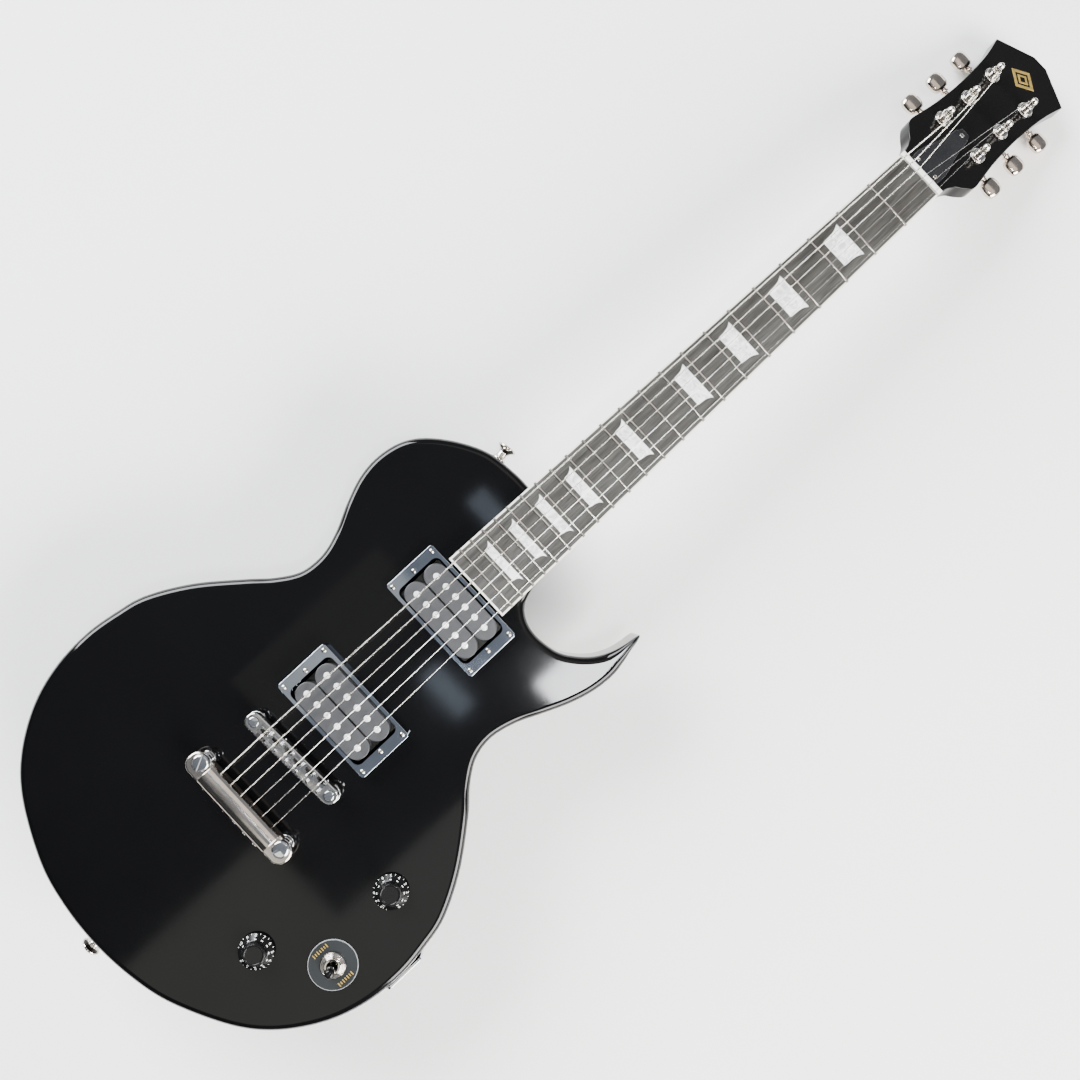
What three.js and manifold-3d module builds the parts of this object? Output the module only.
// Solid-body electric guitar: single cutaway, set neck, two humbucking pickups, stop tailpiece.
//
// Frame, in millimetres: +Z out of the front, +Y toward the headstock, +X toward the thin strings.
// The origin is on the flat back of the body, straight below the middle of the bridge line.

import * as THREE from 'three';
import { mergeVertices } from 'three/addons/utils/BufferGeometryUtils.js';
import Module from 'manifold-3d';

// ---- driving dimensions -------------------------------------------------------------------

const GAP = 0.3;                    // clearance between pieces that touch on the real guitar

const SCALE_LENGTH = 628.65;        // nut to bridge line
const STRING_COUNT = 6;

const BODY_THICKNESS = 44;
const BODY_EDGE_BEVEL = 2.5;
const TOP_SKIN = 6;                 // wood left above the control cavity

const NECK_ANGLE = Math.atan(0.0384);
const BOARD_LIFT = 9.5;             // fretboard surface above the body, at the board's end
const BOARD_END_Y = 166.4;
const BOARD_THICKNESS = 6;
const BOARD_HALF_AT_NUT = 21.3;
const BOARD_HALF_AT_END = 28.3;
const BOARD_RADIUS = 305;           // crosswise curve of the playing surface

const NUT_THICKNESS = 4.8;
const NUT_RISE = 2.2;               // top of the nut above the board
const NECK_DEPTH = 15.5;            // wood below the fretboard
const HEEL_Y = 245.8;               // where the heel meets the body

const HEAD_ANGLE = THREE.MathUtils.degToRad(14);
const HEAD_THICKNESS = 13;

const STRING_RADII = [0.53, 0.44, 0.33, 0.22, 0.17, 0.13];   // thick to thin
const STRING_PITCH_AT_NUT = 7.0;
const STRING_PITCH_AT_BRIDGE = 10.4;
const STRING_HEIGHT_AT_BRIDGE = 19.6;   // above the body
const STRING_HEIGHT_AT_NUT = 1.4;       // above the board

const BRIDGE_Y = -9.4;
const BRIDGE_SLANT = Math.atan(3.4 / 74);
const BRIDGE_POST_X = 37;
const BRIDGE_BASE = 9;              // underside of the bridge above the body
const BRIDGE_HEIGHT = 7.2;
const BRIDGE_WIDTH = 12.8;
const SADDLE_REST = [-1.6, -0.6, 0.6, -0.8, 0.4, 1.6];       // each saddle's place along its screw

const TAILPIECE_Y = -59.6;
const TAILPIECE_STUD_X = 41;
const TAILPIECE_STUD_AHEAD = 3;     // studs, toward the strings from the bar's middle
const TAILPIECE_BASE = 8;           // underside of the bar above the body
const TAILPIECE_HEIGHT = 13;
const TAILPIECE_LENGTH = 101;
const TAILPIECE_WIDTH = 17.6;
const TAILPIECE_BAR_HALF = 34;      // raised bar between the two flat ears
const TAILPIECE_EAR_HEIGHT = 7;
const TAILPIECE_STRING_HEIGHT = 14.5;

const RING_LENGTH = 90;
const RING_WIDTH = 45;
const NECK_RING = { name: 'neck', y: 142.2, height: 4.6, poles: 10.4, pitch: 10.05 };
const BRIDGE_RING = { name: 'bridge', y: 38.2, height: 9.3, poles: 14.4, pitch: 10.45 };
const BOBBIN_SPACING = 19;        // between the two rows of poles

const VOLUME_PLACE = [117.8, -25.2];
const TONE_PLACE = [82.6, -122];
const SWITCH_PLACE = [127.2, -89.8];
const KNOB_RADIUS = 13;
const KNOB_HEIGHT = 10.5;

const JACK_Y = -60;
const JACK_Z = BODY_THICKNESS / 2;
const BODY_SIDE_X = 167;            // widest point of the lower bout

const TUNER_X = [20, 18.6, 19.4];   // posts from the centre line, nearest the nut first
const TUNER_Y = [55.8, 91, 127.4];  // posts from the nut
const WORM_OFFSET = 9;              // button shaft from its post, along the headstock
const SHAFT_DEPTH = 18.5;           // button shaft below the headstock's face

// ---- materials ----------------------------------------------------------------------------

const finish = (color, roughness, metalness) =>
  new THREE.MeshStandardMaterial({ color, roughness, metalness });

const BLACK_LACQUER = () => finish(0x07070a, 0.08, 0);
const ROSEWOOD = () => finish(0x3a3634, 0.55, 0);
const IVORY_PLASTIC = () => finish(0xf1efe6, 0.3, 0);
const CHROME = () => finish(0xd4d6d8, 0.08, 1);
const NICKEL = () => finish(0xb9aea2, 0.16, 1);
const STEEL = () => finish(0xb8b8b4, 0.28, 1);
const BLACK_PLASTIC = () => finish(0x101012, 0.3, 0);
const CLEAR_PLASTIC = () => finish(0xc8ccc4, 0.1, 0);

// ---- building blocks ----------------------------------------------------------------------

const wasm = await Module();
wasm.setup();

function toSolid(geometry) {
  const bare = new THREE.BufferGeometry();
  bare.setAttribute('position', geometry.getAttribute('position'));
  bare.setIndex(geometry.getIndex());
  const merged = mergeVertices(bare, 1e-4);
  const index = merged.getIndex().array;
  const kept = [];
  for (let i = 0; i < index.length; i += 3) {
    const [a, b, c] = [index[i], index[i + 1], index[i + 2]];
    if (a !== b && b !== c && c !== a) kept.push(a, b, c);
  }
  const vertProperties = new Float32Array(merged.getAttribute('position').array);
  return new wasm.Manifold(new wasm.Mesh({ numProp: 3, vertProperties, triVerts: new Uint32Array(kept) }));
}

function toGeometry(solid) {
  const mesh = solid.getMesh();
  const geometry = new THREE.BufferGeometry();
  geometry.setAttribute('position', new THREE.BufferAttribute(mesh.vertProperties, 3));
  geometry.setIndex(new THREE.BufferAttribute(mesh.triVerts, 1));
  return geometry;
}

const asSolid = (shape) => (shape.isBufferGeometry ? toSolid(shape) : shape);
const join = (...pieces) => pieces.map(asSolid).reduce((whole, piece) => whole.add(piece));
const cut = (piece, ...tools) =>
  tools.map(asSolid).reduce((left, tool) => left.subtract(tool), asSolid(piece));

const block = (x0, x1, y0, y1, z0, z1) =>
  new THREE.BoxGeometry(x1 - x0, y1 - y0, z1 - z0).translate((x0 + x1) / 2, (y0 + y1) / 2, (z0 + z1) / 2);

// A straight round rod along Z, from z0 to z1.
const rod = (radius, z0, z1, sides = 16, x = 0, y = 0) =>
  new THREE.CylinderGeometry(radius, radius, z1 - z0, sides)
    .rotateX(Math.PI / 2).translate(x, y, (z0 + z1) / 2);

// A turned piece about Z; the profile lists [radius, height] from the axis back to the axis.
const turned = (profile, sides = 16) =>
  new THREE.LatheGeometry(profile.map(([r, z]) => new THREE.Vector2(r, z)), sides).rotateX(Math.PI / 2);

const slab = (shape, z0, z1, curveSegments = 2) =>
  new THREE.ExtrudeGeometry(shape, { depth: z1 - z0, bevelEnabled: false, curveSegments })
    .translate(0, 0, z0);

function polygon(points) {
  return new THREE.Shape(points.map(([x, y]) => new THREE.Vector2(x, y)));
}

// A closed smooth outline through the given points.
function smoothOutline(points, segments) {
  const curve = new THREE.CatmullRomCurve3(points.map(([x, y]) => new THREE.Vector3(x, y, 0)), true);
  return new THREE.Shape(curve.getPoints(segments).slice(0, -1).map((p) => new THREE.Vector2(p.x, p.y)));
}

function roundedBar(length, width, radius) {
  const x = length / 2 - radius;
  const y = width / 2 - radius;
  const shape = new THREE.Shape();
  shape.absarc(x, y, radius, 0, Math.PI / 2);
  shape.absarc(-x, y, radius, Math.PI / 2, Math.PI);
  shape.absarc(-x, -y, radius, Math.PI, 1.5 * Math.PI);
  shape.absarc(x, -y, radius, 1.5 * Math.PI, 2 * Math.PI);
  return shape;
}

// A skin over a row of rings, each ring a list of [x, y, z], with a flat cap at both ends.
function loft(rings) {
  const count = rings[0].length;
  const last = (rings.length - 1) * count;
  const index = [];
  for (let r = 0; r < rings.length - 1; r++) {
    for (let i = 0; i < count; i++) {
      const a = r * count + i;
      const b = r * count + (i + 1) % count;
      index.push(a, b, a + count, b, b + count, a + count);
    }
  }
  for (let i = 1; i < count - 1; i++) {
    index.push(0, i + 1, i);
    index.push(last, last + i, last + i + 1);
  }
  const geometry = new THREE.BufferGeometry();
  geometry.setAttribute('position', new THREE.Float32BufferAttribute(rings.flat(2), 3));
  geometry.setIndex(index);
  return geometry;
}

// Rings that run along +Y go round from +Z toward +X, so that the skin faces outward.
function roundRing(x, y, z, radius, sides) {
  const ring = [];
  for (let i = 0; i < sides; i++) {
    const angle = (i / sides) * 2 * Math.PI;
    ring.push([x + radius * Math.sin(angle), y, z + radius * Math.cos(angle)]);
  }
  return ring;
}

const guitar = new THREE.Group();
const neckFrame = new THREE.Group();    // y along the neck from the nut, z = 0 on the board
const headFrame = new THREE.Group();    // y along the headstock, z = 0 on its face
const bridgeFrame = new THREE.Group();  // turned with the slanted bridge

const BOARD_Z_AT_NUT =
  BODY_THICKNESS + BOARD_LIFT - (SCALE_LENGTH - BOARD_END_Y) * Math.tan(NECK_ANGLE);
neckFrame.position.set(0, SCALE_LENGTH, BOARD_Z_AT_NUT);
neckFrame.rotation.x = -NECK_ANGLE;
headFrame.position.set(0, NUT_THICKNESS, -BOARD_THICKNESS);
headFrame.rotation.x = -HEAD_ANGLE;
bridgeFrame.position.set(0, BRIDGE_Y, BODY_THICKNESS);
bridgeFrame.rotation.z = BRIDGE_SLANT;
neckFrame.add(headFrame);
guitar.add(neckFrame, bridgeFrame);
guitar.updateMatrixWorld(true);

function place(name, shape, material, parent = guitar, position = [0, 0, 0], rotation = [0, 0, 0]) {
  const mesh = new THREE.Mesh(shape.isBufferGeometry ? shape : toGeometry(shape), material);
  mesh.name = name;
  mesh.position.set(...position);
  mesh.rotation.set(...rotation);
  parent.add(mesh);
}

// ---- body: one slab with a hooked horn, hollowed for the neck, pickups and controls --------

const LOWER_BOUT = [
  [167, -61], [164.2, -92], [154, -122], [134.5, -151], [109.5, -172], [69, -191.8], [36, -200],
];

function bodyOutline() {
  const mirrored = LOWER_BOUT.map(([x, y]) => [-x, y]);
  const around = [
    [-42.5, 245.2], [-66.5, 241.2], [-88, 230], [-106, 214.8], [-116, 199], [-119.7, 179],
    [-117.3, 159.5], [-109.5, 139.5], [-99.5, 119.5], [-94, 101], [-95.3, 82], [-105, 65],
    [-118.5, 49], [-142, 19], [-158.4, -11], [-164, -34],
    ...mirrored, [0, -202.8], ...[...LOWER_BOUT].reverse(),
    [164, -34], [158.4, -11], [142, 19], [118.5, 49], [102.5, 65.5], [91.2, 82], [87.8, 100],
    [92, 120], [100.8, 140], [109.2, 160], [114.6, 180], [115.6, 200], [111, 219.5],
  ];
  const cutaway = [[102.8, 209], [97, 197], [87.5, 186.4], [76, 178.6], [62, 175.2], [50, 175.3],
    [40, 179], [33, 185.6], [28.6, 197]];
  const vectors = (points) => points.map(([x, y]) => new THREE.Vector2(x, y));
  const shape = new THREE.Shape();
  shape.moveTo(-27, 245.5);
  shape.splineThru(vectors(around));
  shape.quadraticCurveTo(107, 241, 105.4, 220.5);
  shape.splineThru(vectors(cutaway));
  shape.lineTo(27.4, 240);
  shape.lineTo(25, 245.5);
  return shape;
}

const CONTROL_CAVITY = [
  [96, 0], [128, 2], [146, -30], [151, -70], [144, -108], [122, -134], [86, -146], [60, -134],
  [58, -108], [78, -80], [90, -40],
];
const COVER_MARGIN = 7;
const COVER_THICKNESS = 2;

// The same loop of points, moved outward from its middle.
function widened(points, margin) {
  const middle = points.reduce(
    ([sx, sy], [x, y]) => [sx + x / points.length, sy + y / points.length], [0, 0]);
  return points.map(([x, y]) => {
    const reach = Math.hypot(x - middle[0], y - middle[1]);
    const grow = (reach + margin) / reach;
    return [middle[0] + (x - middle[0]) * grow, middle[1] + (y - middle[1]) * grow];
  });
}

const PICKUP_CAVITY = { length: 76, width: 41, depth: 21 };
const TENON_HALF = 19;
const TENON_DEPTH = 19;
const TENON_START_Y = BOARD_END_Y + 1.6;
const STRAP_BUTTONS = [
  { name: 'strap_button_tail', x: 0, y: -202.8 - GAP, turn: Math.PI },
  { name: 'strap_button_shoulder', x: -59.3, y: 243.1 + GAP, turn: 0.17 },
];

const cavityTop = BODY_THICKNESS - TOP_SKIN;
const pickupCavity = (ring) =>
  slab(roundedBar(PICKUP_CAVITY.length, PICKUP_CAVITY.width, 6),
    BODY_THICKNESS - PICKUP_CAVITY.depth, BODY_THICKNESS + 1).translate(0, ring.y, 0);
const tunnel = (radius, from, to) => {
  const start = new THREE.Vector3(...from);
  const way = new THREE.Vector3(...to).sub(start);
  const turn = new THREE.Quaternion()
    .setFromUnitVectors(new THREE.Vector3(0, 0, 1), way.clone().normalize());
  return rod(radius, 0, way.length(), 8).applyQuaternion(turn).translate(...from);
};

const bodySlab = new THREE.ExtrudeGeometry(bodyOutline(), {
  depth: BODY_THICKNESS - 2 * BODY_EDGE_BEVEL,
  bevelThickness: BODY_EDGE_BEVEL,
  bevelSize: BODY_EDGE_BEVEL,
  bevelOffset: -BODY_EDGE_BEVEL,
  bevelSegments: 1,
  curveSegments: 2,
}).translate(0, 0, BODY_EDGE_BEVEL);

const strapScrewHoles = STRAP_BUTTONS.map(({ x, y, turn }) =>
  rod(2.2, -14, 2, 8).rotateX(-Math.PI / 2).rotateZ(turn).translate(x, y, JACK_Z));

place('body', cut(
  bodySlab,
  pickupCavity(NECK_RING),
  pickupCavity(BRIDGE_RING),
  block(-TENON_HALF - GAP, TENON_HALF + GAP, TENON_START_Y, 260,
    BODY_THICKNESS - TENON_DEPTH, BODY_THICKNESS + 1),
  slab(smoothOutline(CONTROL_CAVITY, 33), -1, cavityTop),
  slab(smoothOutline(widened(CONTROL_CAVITY, COVER_MARGIN), 33), -1, COVER_THICKNESS + 2 * GAP),
  rod(5.1, 30, 50, 12, ...VOLUME_PLACE),
  rod(5.1, 30, 50, 12, ...TONE_PLACE),
  rod(6.3, 30, 50, 12, ...SWITCH_PLACE),
  rod(11, 0, 30, 16).rotateY(Math.PI / 2).translate(140, JACK_Y, JACK_Z),
  ...[-1, 1].map((side) =>
    rod(4.3, 22, 50, 12, side * TAILPIECE_STUD_X, TAILPIECE_Y + TAILPIECE_STUD_AHEAD)),
  ...[-1, 1].map((side) => rod(3.3, 24, 50, 12,
    side * BRIDGE_POST_X * Math.cos(BRIDGE_SLANT),
    BRIDGE_Y + side * BRIDGE_POST_X * Math.sin(BRIDGE_SLANT))),
  ...strapScrewHoles,
  tunnel(4, [0, NECK_RING.y - 10, 30], [0, BRIDGE_RING.y + 10, 30]),
  tunnel(4, [25, BRIDGE_RING.y - 10, 29], [100, -15, 29]),
), BLACK_LACQUER());

// ---- control cavity cover, screwed into the recess in the back ------------------------------

place('control_cover',
  slab(smoothOutline(widened(CONTROL_CAVITY, COVER_MARGIN - 0.5), 33), GAP, GAP + COVER_THICKNESS),
  BLACK_PLASTIC());

// ---- neck and headstock: one piece of timber, glued into the body by its tenon --------------

const boardEnd = BOARD_END_Y - SCALE_LENGTH;
const boardHalf = (y) =>
  BOARD_HALF_AT_NUT + (BOARD_HALF_AT_END - BOARD_HALF_AT_NUT) * (-y / (SCALE_LENGTH - BOARD_END_Y));
const NECK_TOP = -BOARD_THICKNESS - GAP;
const NECK_SIDES = 12;

// One crosswise section of the neck: flat on top, rounded below; square is 0 for round, 1 for boxy.
function neckRing(y, half, top, depth, square) {
  const power = THREE.MathUtils.lerp(0.85, 0.4, square);
  const ring = [[-half, y, top]];
  for (let i = 0; i <= NECK_SIDES; i++) {
    const angle = (i / NECK_SIDES) * Math.PI;
    const across = half * Math.sign(Math.cos(angle)) * Math.abs(Math.cos(angle)) ** power;
    ring.push([across, y, top - 1.5 - depth * Math.sin(angle) ** power]);
  }
  ring[1 + NECK_SIDES / 2][0] = 0;
  ring.splice(1, 0, [half, y, top]);
  return ring;
}

const heelStart = (HEEL_Y - SCALE_LENGTH) / Math.cos(NECK_ANGLE);
const neckStations = [
  [heelStart + 1.9, 36, 1], [heelStart + 7, 33, 0.9], [heelStart + 16, 24, 0.6],
  [heelStart + 27, 18, 0.25], [heelStart + 42, NECK_DEPTH + 0.9, 0], [-220, NECK_DEPTH + 0.5, 0],
  [-90, NECK_DEPTH, 0], [0, NECK_DEPTH - 1, 0], [NUT_THICKNESS, NECK_DEPTH - 1, 0],
];
const neckRings = neckStations.map(([y, depth, square]) =>
  neckRing(y, boardHalf(Math.min(y, 0)), NECK_TOP, depth - 1.5, square));
const transition = [8, 16, 25].map((along) => {
  const drop = along * Math.tan(HEAD_ANGLE);
  return neckRing(NUT_THICKNESS + along, BOARD_HALF_AT_NUT - along * 0.25, NECK_TOP - drop - 0.5,
    NECK_DEPTH - 3.4 - along * 0.03, 0);
});

const HEAD_HALF = [
  [21.3, 0], [22, 9], [25.2, 16.5], [31.2, 22.6], [36.8, 31.6], [35.6, 46], [33.4, 66], [32.4, 92],
  [33, 116], [35.2, 141], [39.3, 161.2],
];
const HEAD_PEAK = [7, 178.3];
function headOutline() {
  const left = HEAD_HALF.map(([x, y]) => [-x, y]).reverse();
  return polygon([...HEAD_HALF, HEAD_PEAK, [-HEAD_PEAK[0], HEAD_PEAK[1]], ...left]);
}

const headMatrix = headFrame.matrix.clone();
const intoNeck = neckFrame.matrixWorld.clone().invert();
const overBody = slab(
  polygon([
    [-boardHalf(heelStart), heelStart + 1], [-BOARD_HALF_AT_END, BOARD_END_Y + 0.8 - SCALE_LENGTH],
    [BOARD_HALF_AT_END, BOARD_END_Y + 0.8 - SCALE_LENGTH], [boardHalf(heelStart), heelStart + 1],
  ]),
  NECK_TOP - 12, NECK_TOP);
const clearOfBody = block(-60, 60, 100, HEEL_Y, 0, BODY_THICKNESS + GAP).applyMatrix4(intoNeck);
const tenon = block(-TENON_HALF, TENON_HALF, TENON_START_Y + GAP, HEEL_Y + 4,
  BODY_THICKNESS - TENON_DEPTH + GAP, BODY_THICKNESS + 1.5).applyMatrix4(intoNeck);
const aboveNeck = block(-60, 60, boardEnd - 10, 0, NECK_TOP, NECK_TOP + 30);
const headstock = slab(headOutline(), -HEAD_THICKNESS, 0).applyMatrix4(headMatrix);
const tunerSpots = [-1, 1].flatMap((side) => TUNER_X.map((x, i) => ({ side, x: side * x, y: TUNER_Y[i] })));
const bushingHoles = tunerSpots.map(({ x, y }) =>
  rod(4.9, -HEAD_THICKNESS - 1, 1, 12, x, y).applyMatrix4(headMatrix));

const ROD_HALF = 2.9;
const ROD_DEPTH = 8.9;
const ROD_START = -440;
const ROD_END = 19;
const rodChannel = block(-ROD_HALF - GAP, ROD_HALF + GAP, ROD_START - GAP, 6,
  NECK_TOP - ROD_DEPTH - 2 * GAP, NECK_TOP + 1);
const rodPocket = block(-6, 6, NUT_THICKNESS - 3, ROD_END + 10, NECK_TOP - 13.4, NECK_TOP + 1);

place('neck', cut(
  join(cut(overBody, clearOfBody), cut(tenon, aboveNeck), loft([...neckRings, ...transition]), headstock),
  rodChannel,
  rodPocket,
  ...bushingHoles,
), BLACK_LACQUER(), neckFrame);

// ---- truss rod in its channel, with the adjusting nut in the headstock pocket ---------------

place('truss_rod', join(
  block(-ROD_HALF, ROD_HALF, ROD_START, NUT_THICKNESS + 2, NECK_TOP - ROD_DEPTH - GAP, NECK_TOP - GAP),
  rod(3.6, NUT_THICKNESS, ROD_END, 6).rotateX(-Math.PI / 2).translate(0, 0, NECK_TOP - 8.2),
), STEEL(), neckFrame);

const COVER_HALF = [[12.6, 2], [14.6, 9], [13.6, 20], [10, 34], [7.6, 47], [6.6, 56], [3.8, 62.4]];
const coverOutline = polygon([...COVER_HALF, ...COVER_HALF.map(([x, y]) => [-x, y]).reverse()]);
place('truss_rod_cover', slab(coverOutline, GAP, GAP + 2), BLACK_PLASTIC(), headFrame);

// ---- fretboard and nut ----------------------------------------------------------------------

function boardRing(y, half) {
  const ring = [];
  const steps = 8;
  for (let i = 0; i <= steps; i++) {
    const x = -half + (2 * half * i) / steps;
    ring.push([x, y, Math.sqrt(BOARD_RADIUS ** 2 - x ** 2) - BOARD_RADIUS]);
  }
  ring.push([half, y, -BOARD_THICKNESS], [-half, y, -BOARD_THICKNESS]);
  return ring;
}
place('fretboard', loft([boardRing(boardEnd, BOARD_HALF_AT_END), boardRing(-GAP, BOARD_HALF_AT_NUT)]),
  ROSEWOOD(), neckFrame);

const stringNumbers = [...Array(STRING_COUNT).keys()];
const acrossNut = (i) => (i - (STRING_COUNT - 1) / 2) * STRING_PITCH_AT_NUT;
const acrossBridge = (i) => (i - (STRING_COUNT - 1) / 2) * STRING_PITCH_AT_BRIDGE;
const nutSlots = stringNumbers.map((i) => block(
  acrossNut(i) - STRING_RADII[i] - GAP, acrossNut(i) + STRING_RADII[i] + GAP, -2, NUT_THICKNESS + 2,
  STRING_HEIGHT_AT_NUT - STRING_RADII[i] - GAP, NUT_RISE + 2));
place('nut', cut(
  block(-BOARD_HALF_AT_NUT, BOARD_HALF_AT_NUT, 0, NUT_THICKNESS - GAP, -BOARD_THICKNESS, NUT_RISE),
  ...nutSlots,
), IVORY_PLASTIC(), neckFrame);

// ---- tuning machines: housing with bushing, turning post, button on its worm shaft ----------

const HOUSING_HALF_X = 8.5;
const HOUSING_FRONT = 15;           // along the headstock, past the worm shaft
const HOUSING_REAR = 8;
const HOUSING_DEPTH = 11.5;
const POST_TOP = 14.6;
const BUTTON_INNER = 38.3;          // button's inner end, from the centre line
const BUTTON_LENGTH = 16.5;

function tunerHousing(side) {
  const width = 2 * HOUSING_HALF_X;
  const length = HOUSING_FRONT + HOUSING_REAR;
  const back = -HEAD_THICKNESS - GAP;
  const casing = slab(roundedBar(width, length, 5), back - HOUSING_DEPTH, back, 1)
    .translate(0, (HOUSING_FRONT - HOUSING_REAR) / 2, 0);
  const bushing = rod(4.6, back - 1, GAP + 1, 12);
  const hexWasher = rod(6.6, GAP, GAP + 2.4, 12);
  const shaftBore = rod(2.3, 0, 20, 8)
    .rotateY(side * Math.PI / 2).translate(side * -4, WORM_OFFSET, -SHAFT_DEPTH);
  return cut(join(casing, bushing, hexWasher), rod(3.3, back - 9, 10, 12), shaftBore);
}

const tunerPost = () => turned([
  [0, -HEAD_THICKNESS - 8], [3, -HEAD_THICKNESS - 8], [3, 6.2], [2.3, 7.4], [2.3, 9.6], [3, 11],
  [3, 12.8], [2, POST_TOP], [0, POST_TOP],
], 12);

function tunerButton(side) {
  const reach = BUTTON_INNER - TUNER_X[1];
  const shaft = rod(2, -1, reach + 2, 8);
  const collar = rod(3.4, reach - 2.6, reach + 1.5, 10);
  const paddle = new THREE.SphereGeometry(1, 12, 8).scale(5, 9, BUTTON_LENGTH / 2)
    .translate(0, 0, reach + BUTTON_LENGTH / 2);
  return join(...[shaft, collar, paddle].map((piece) => piece.rotateY(side * Math.PI / 2)));
}

tunerSpots.forEach(({ side, x, y }, i) => {
  const number = side < 0 ? i + 1 : STRING_COUNT + 3 - i;
  place(`tuner_housing_${number}`, tunerHousing(side), NICKEL(), headFrame, [x, y, 0]);
  place(`tuner_post_${number}`, tunerPost(), NICKEL(), headFrame, [x, y, 0]);
  place(`tuner_button_${number}`, tunerButton(side), NICKEL(), headFrame,
    [side * TUNER_X[1], y + WORM_OFFSET, -SHAFT_DEPTH]);
});

// ---- bridge: slanted channel bar on two posts, with six sliding saddles ----------------------

const BRIDGE_LENGTH = 2 * BRIDGE_POST_X + BRIDGE_WIDTH;
const BRIDGE_POST_RADIUS = 3.6;
const CHANNEL_HALF_LENGTH = 3 * STRING_PITCH_AT_BRIDGE + 0.6;
const CHANNEL_HALF_WIDTH = 4.9;
const CHANNEL_FLOOR = BRIDGE_BASE + 1.6;
const bridgeTop = BRIDGE_BASE + BRIDGE_HEIGHT;
place('bridge', cut(
  slab(roundedBar(BRIDGE_LENGTH, BRIDGE_WIDTH, BRIDGE_WIDTH / 2 - 0.01), BRIDGE_BASE, bridgeTop),
  block(-CHANNEL_HALF_LENGTH, CHANNEL_HALF_LENGTH, -CHANNEL_HALF_WIDTH, CHANNEL_HALF_WIDTH,
    CHANNEL_FLOOR, bridgeTop + 1),
  ...[-1, 1].map((side) => rod(BRIDGE_POST_RADIUS + GAP, 0, 30, 12, side * BRIDGE_POST_X, 0)),
), CHROME(), bridgeFrame);

const saddleCrest = STRING_HEIGHT_AT_BRIDGE - 0.55 - GAP;
const SADDLE_HALF_WIDTH = 4.7;
const SADDLE_HALF_LENGTH = 2.4;
function saddle() {
  const side = polygon([
    [-SADDLE_HALF_LENGTH, CHANNEL_FLOOR + GAP], [SADDLE_HALF_LENGTH, CHANNEL_FLOOR + GAP],
    [SADDLE_HALF_LENGTH, bridgeTop], [0.5, saddleCrest], [-0.5, saddleCrest],
    [-SADDLE_HALF_LENGTH, bridgeTop],
  ]);
  return slab(side, -SADDLE_HALF_WIDTH, SADDLE_HALF_WIDTH).rotateX(Math.PI / 2).rotateZ(Math.PI / 2);
}
stringNumbers.forEach((i) => {
  place(`saddle_${i + 1}`, saddle(), NICKEL(), bridgeFrame, [acrossBridge(i), SADDLE_REST[i], 0]);
});

const bridgePost = () => turned([
  [0, -19], [3, -19], [3, BRIDGE_BASE - 4], [7, BRIDGE_BASE - 3.6], [7, BRIDGE_BASE - GAP - 0.2],
  [BRIDGE_POST_RADIUS, BRIDGE_BASE - GAP - 0.2], [BRIDGE_POST_RADIUS, bridgeTop + 0.8], [0, bridgeTop + 0.8],
]);
for (const [name, side] of [['bass', -1], ['treble', 1]]) {
  place(`bridge_post_${name}`, bridgePost(), CHROME(), bridgeFrame, [side * BRIDGE_POST_X, 0, 0]);
}

// ---- stop tailpiece: rounded bar with a slotted ear at each end, held by two studs -------------

const EAR_TOP = TAILPIECE_BASE + TAILPIECE_EAR_HEIGHT;
const TAILPIECE_TOP = TAILPIECE_BASE + TAILPIECE_HEIGHT;
const STUD_RADIUS = 4;
const barHalf = TAILPIECE_WIDTH / 2;
const barProfile = polygon([
  [-barHalf, EAR_TOP - 1], [barHalf, EAR_TOP - 1], [barHalf - 0.4, EAR_TOP + 1.4],
  [barHalf - 2.4, TAILPIECE_TOP - 2.6], [3.4, TAILPIECE_TOP - 0.5], [0, TAILPIECE_TOP],
  [-3.4, TAILPIECE_TOP - 0.5], [2.4 - barHalf, TAILPIECE_TOP - 2.6], [0.4 - barHalf, EAR_TOP + 1.4],
]);
const alongX = (geometry) => geometry.rotateX(Math.PI / 2).rotateZ(Math.PI / 2);
const alongY = (geometry) => geometry.rotateX(-Math.PI / 2);
const studPlaces = [-1, 1].map((side) => side * TAILPIECE_STUD_X);
const stringHole = (radius, y0, y1) => stringNumbers.map((i) =>
  alongY(rod(radius, y0, y1, 8)).translate(acrossBridge(i), 0, TAILPIECE_STRING_HEIGHT));
place('tailpiece', cut(
  join(
    slab(roundedBar(TAILPIECE_LENGTH, TAILPIECE_WIDTH, barHalf - 0.6), TAILPIECE_BASE, EAR_TOP, 4),
    alongX(slab(barProfile, -TAILPIECE_BAR_HALF, TAILPIECE_BAR_HALF)),
  ),
  ...studPlaces.map((x) => rod(STUD_RADIUS + GAP, 0, 40, 12, x, TAILPIECE_STUD_AHEAD)),
  ...studPlaces.map((x) =>
    block(x - STUD_RADIUS - GAP, x + STUD_RADIUS + GAP, TAILPIECE_STUD_AHEAD, 20, 0, 40)),
  ...stringHole(1.4, -20, 20),
  ...stringHole(2.9, -20, -3),
), CHROME(), guitar, [0, TAILPIECE_Y, BODY_THICKNESS]);

const tailpieceStud = () => turned([
  [0, -20], [STUD_RADIUS, -20], [STUD_RADIUS, TAILPIECE_BASE - 3], [6.6, TAILPIECE_BASE - 3],
  [6.6, TAILPIECE_BASE - GAP], [STUD_RADIUS, TAILPIECE_BASE - GAP], [STUD_RADIUS, EAR_TOP + GAP],
  [6.4, EAR_TOP + GAP], [6.4, EAR_TOP + 3.4], [5.4, EAR_TOP + 4.4], [0, EAR_TOP + 4.4],
]);
for (const [name, side] of [['bass', -1], ['treble', 1]]) {
  place(`tailpiece_stud_${name}`, tailpieceStud(), CHROME(), guitar,
    [side * TAILPIECE_STUD_X, TAILPIECE_Y + TAILPIECE_STUD_AHEAD, BODY_THICKNESS]);
}

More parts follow.
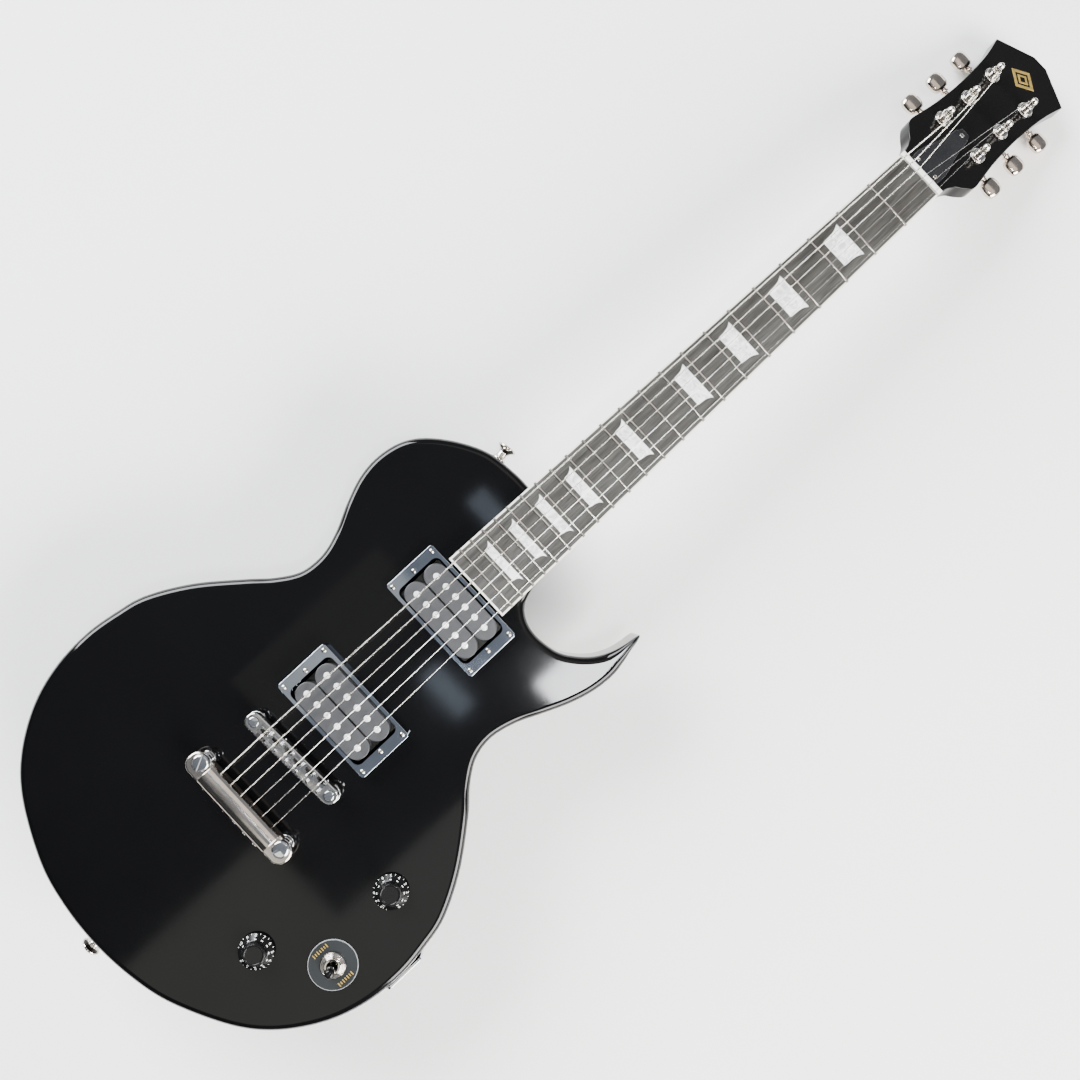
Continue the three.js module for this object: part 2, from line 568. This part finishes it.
// ---- strings: ball end in the tailpiece, over the saddle and the nut, to the tuning post -------

const intoWorld = (frame, x, y, z) => frame.localToWorld(new THREE.Vector3(x, y, z)).toArray();
const STRING_SIDES = 6;
const POST_WIND_HEIGHT = 6.4;
const POST_REACH = 3 + GAP;

function stringPath(i) {
  const bass = i < STRING_COUNT / 2;
  const spot = bass ? tunerSpots[i] : tunerSpots[STRING_COUNT + 2 - i];
  const radius = STRING_RADII[i];
  const xBridge = acrossBridge(i);
  const zTail = BODY_THICKNESS + TAILPIECE_STRING_HEIGHT;
  const crest = bridgeFrame.localToWorld(new THREE.Vector3(xBridge, SADDLE_REST[i], 0));
  const inward = bass ? 1 : -1;
  return [
    [[xBridge, TAILPIECE_Y - 8.6, zTail], 2.2],
    [[xBridge, TAILPIECE_Y - 5, zTail], 2.2],
    [[xBridge, TAILPIECE_Y - 4.9, zTail], radius],
    [[xBridge, TAILPIECE_Y + barHalf + 0.6, zTail], radius],
    [[crest.x, crest.y, BODY_THICKNESS + STRING_HEIGHT_AT_BRIDGE], radius],
    [intoWorld(neckFrame, acrossNut(i), 0, STRING_HEIGHT_AT_NUT), radius],
    [intoWorld(neckFrame, acrossNut(i), NUT_THICKNESS, STRING_HEIGHT_AT_NUT - 0.2), radius],
    [intoWorld(headFrame, spot.x + inward * (POST_REACH + radius), spot.y - 1, POST_WIND_HEIGHT), radius],
  ];
}

stringNumbers.forEach((i) => {
  const rings = stringPath(i).map(([point, radius]) => roundRing(...point, radius, STRING_SIDES));
  place(`string_${i + 1}`, loft(rings), STEEL());
});

// ---- pickups: two bobbins on a base plate, hung in a frame ring --------------------------------

const RING_OPENING_LENGTH = 73;
const RING_OPENING_WIDTH = 39.5;
const BASE_PLATE_THICKNESS = 2;
const BOBBIN_HEIGHT = 10.5;
const BOBBIN_LENGTH = 69.5;
const BOBBIN_WIDTH = 18;
const POLE_RISE = 0.8;

function pickupRing(ring) {
  const frame = roundedBar(RING_LENGTH, RING_WIDTH, 3);
  frame.holes.push(roundedBar(RING_OPENING_LENGTH, RING_OPENING_WIDTH, 5));
  return slab(frame, GAP, ring.height);
}

function pickup(ring) {
  const top = ring.poles - POLE_RISE;
  const base = top - BOBBIN_HEIGHT;
  const pieces = [
    slab(roundedBar(BOBBIN_LENGTH, BOBBIN_WIDTH + BOBBIN_SPACING, 3), base - BASE_PLATE_THICKNESS, base, 1),
    block(-33, 33, -12, 12, base - 1, top - 4),
  ];
  for (const row of [-1, 1]) {
    const y = (row * BOBBIN_SPACING) / 2;
    pieces.push(slab(roundedBar(BOBBIN_LENGTH, BOBBIN_WIDTH, BOBBIN_WIDTH / 2 - 0.01), base - 1, top)
      .translate(0, y, 0));
    for (const i of stringNumbers) {
      pieces.push(rod(2.4, top - 1, ring.poles, 8, (i - 2.5) * ring.pitch, y));
    }
  }
  return join(...pieces);
}

for (const ring of [NECK_RING, BRIDGE_RING]) {
  place(`pickup_ring_${ring.name}`, pickupRing(ring), CHROME(), guitar, [0, ring.y, BODY_THICKNESS]);
  place(`pickup_${ring.name}`, pickup(ring), BLACK_PLASTIC(), guitar, [0, ring.y, BODY_THICKNESS]);
}

// ---- volume and tone controls: pot below the top, turning shaft, top-hat knob -------------------

const POT_BOTTOM = -TOP_SKIN - GAP - 11;
const KNOB_CAP = 3;                 // plastic above the end of the shaft's bore
const potHousing = () => cut(
  turned([
    [0, POT_BOTTOM], [12, POT_BOTTOM], [12, -TOP_SKIN - GAP], [4.8, -TOP_SKIN - GAP], [4.8, GAP],
    [7, GAP], [7, 2.6], [4.8, 2.6], [4.8, 5], [0, 5],
  ]),
  rod(3.3, POT_BOTTOM + 1.5, 10, 12));
const potShaft = () => rod(3, POT_BOTTOM + 2, KNOB_HEIGHT - KNOB_CAP - 0.4, 12);
const knob = () => cut(
  turned([
    [0, 0.9], [KNOB_RADIUS, 0.9], [KNOB_RADIUS, 2.4], [11.2, 5], [9.2, 6.6], [8.4, KNOB_HEIGHT - 0.9],
    [7.7, KNOB_HEIGHT], [0, KNOB_HEIGHT],
  ], 24),
  rod(8, -1, 5.4, 16),
  rod(3.3, 0, KNOB_HEIGHT - KNOB_CAP, 12));

for (const [name, spot] of [['volume', VOLUME_PLACE], ['tone', TONE_PLACE]]) {
  const position = [...spot, BODY_THICKNESS];
  place(`${name}_pot`, potHousing(), STEEL(), guitar, position);
  place(`${name}_pot_shaft`, potShaft(), STEEL(), guitar, position);
  place(`${name}_knob`, knob(), BLACK_PLASTIC(), guitar, position);
}

// ---- pickup selector: switch through the top, clear ring under its nut, rocking lever ------------

const RING_PLATE = 1.2;
const LEVER_PIVOT = -2;
const switchSpot = [...SWITCH_PLACE, BODY_THICKNESS];
place('toggle_switch', cut(
  join(
    block(-10, 10, -13, 13, -29, -TOP_SKIN - GAP),
    rod(6, -TOP_SKIN - 1, 6, 16),
    rod(9.4, GAP + RING_PLATE + GAP, 4, 16),
  ),
  rod(4.3, -14, 10, 12),
), NICKEL(), guitar, switchSpot);
place('switch_ring', cut(rod(18, GAP, GAP + RING_PLATE, 32), rod(6.4, -1, 3, 16)),
  CLEAR_PLASTIC(), guitar, switchSpot);
place('toggle_lever', turned([
  [0, -6], [1.6, -6], [1.6, -2.6], [2.6, LEVER_PIVOT], [1.6, -1.4], [1.6, 9], [2.6, 9], [4, 15],
  [4, 19], [2.6, 21], [0, 21],
], 12), BLACK_PLASTIC(), guitar, switchSpot);

// ---- output jack in the side of the lower bout, behind its square plate --------------------------

const PLATE_THICKNESS = 2;
const JACK_STANDS_OUT = 4.2;        // end of the jack and its nut, beyond the back of the plate
const plateStart = BODY_SIDE_X + GAP;
const towardX = (geometry) => geometry.rotateY(Math.PI / 2).translate(0, JACK_Y, JACK_Z);
place('jack_plate', cut(
  towardX(slab(roundedBar(34, 34, 4), plateStart, plateStart + PLATE_THICKNESS)),
  towardX(rod(5.1, 150, 180, 16)),
), CHROME());
place('output_jack', cut(
  join(
    towardX(rod(4.8, 146, plateStart + JACK_STANDS_OUT, 16)),
    towardX(rod(8, plateStart - 3, plateStart - GAP, 16)),
    towardX(rod(7.2, plateStart + PLATE_THICKNESS + GAP, plateStart + JACK_STANDS_OUT, 12)),
  ),
  towardX(rod(3.3, 140, 180, 16)),
), NICKEL());

// ---- strap buttons ---------------------------------------------------------------------------------

const STRAP_BUTTON_HEIGHT = 13.2;
for (const { name, x, y, turn } of STRAP_BUTTONS) {
  const button = turned([
    [0, -12], [1.8, -12], [1.8, 0], [6, 0], [4, 3], [3.8, 7.5], [7.6, 11], [7.6, 12.4],
    [6.4, STRAP_BUTTON_HEIGHT], [0, STRAP_BUTTON_HEIGHT],
  ]);
  place(name, alongY(button), NICKEL(), guitar, [x, y, JACK_Z], [0, 0, turn]);
}

export default guitar;
